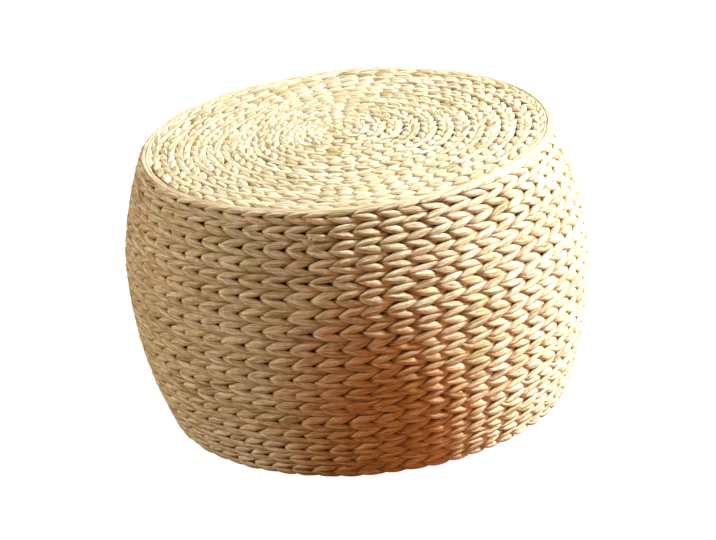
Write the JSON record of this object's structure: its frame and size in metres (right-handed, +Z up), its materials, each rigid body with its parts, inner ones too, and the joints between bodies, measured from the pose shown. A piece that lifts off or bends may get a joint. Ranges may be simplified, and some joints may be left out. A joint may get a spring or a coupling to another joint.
{
  "type": "woven stool",
  "caption": "Low round barrel-shaped stool of twined straw rows over hidden stakes, with a flat spiral-wound seat on a board and an inner lashed cane frame, open underneath.",
  "frame": {"origin": "on the floor, under the middle of the stool", "axes": "+Z up along the barrel's axis, -Y towards the side that the picture shows as the front"},
  "size_m": [0.5, 0.5, 0.3],
  "materials": {
    "straw": "dry twisted straw strands, matt with a faint sheen",
    "rim_straw": "smooth straight straw strand, matt with a faint sheen",
    "stake_cane": "peeled cane, matt",
    "frame_cane": "round cane with its skin on, satin",
    "cane_peel": "split cane peel, satin",
    "board": "plywood, sanded and bare",
    "timber": "planed softwood, bare",
    "screw_steel": "plain zinc-coated steel"
  },
  "bodies": {
    "root": {"side_winding": "straw", "seat_winding": "straw", "rim_cord": "rim_straw", "centre_knot": "rim_straw", "stake_fan_01": "stake_cane", "stake_fan_02": "stake_cane", "stake_fan_03": "stake_cane", "stake_fan_04": "stake_cane", "stake_fan_05": "stake_cane", "stake_fan_06": "stake_cane", "stake_fan_07": "stake_cane", "stake_fan_08": "stake_cane", "stake_fan_09": "stake_cane", "stake_fan_10": "stake_cane", "stake_fan_11": "stake_cane", "stake_fan_12": "stake_cane", "rib_01": "frame_cane", "rib_02": "frame_cane", "rib_03": "frame_cane", "rib_04": "frame_cane", "rib_05": "frame_cane", "rib_06": "frame_cane", "rib_07": "frame_cane", "rib_08": "frame_cane", "base_hoop": "frame_cane", "belly_hoop": "frame_cane", "top_hoop": "frame_cane", "base_lashing_01": "cane_peel", "base_lashing_02": "cane_peel", "base_lashing_03": "cane_peel", "base_lashing_04": "cane_peel", "base_lashing_05": "cane_peel", "base_lashing_06": "cane_peel", "base_lashing_07": "cane_peel", "base_lashing_08": "cane_peel", "belly_lashing_01": "cane_peel", "belly_lashing_02": "cane_peel", "belly_lashing_03": "cane_peel", "belly_lashing_04": "cane_peel", "belly_lashing_05": "cane_peel", "belly_lashing_06": "cane_peel", "belly_lashing_07": "cane_peel", "belly_lashing_08": "cane_peel", "top_lashing_01": "cane_peel", "top_lashing_02": "cane_peel", "top_lashing_03": "cane_peel", "top_lashing_04": "cane_peel", "top_lashing_05": "cane_peel", "top_lashing_06": "cane_peel", "top_lashing_07": "cane_peel", "top_lashing_08": "cane_peel", "seat_board": "board", "lower_brace": "timber", "upper_brace": "timber", "board_screw_01": "screw_steel", "board_screw_02": "screw_steel", "board_screw_03": "screw_steel", "board_screw_04": "screw_steel"}
  },
  "joints": []
}
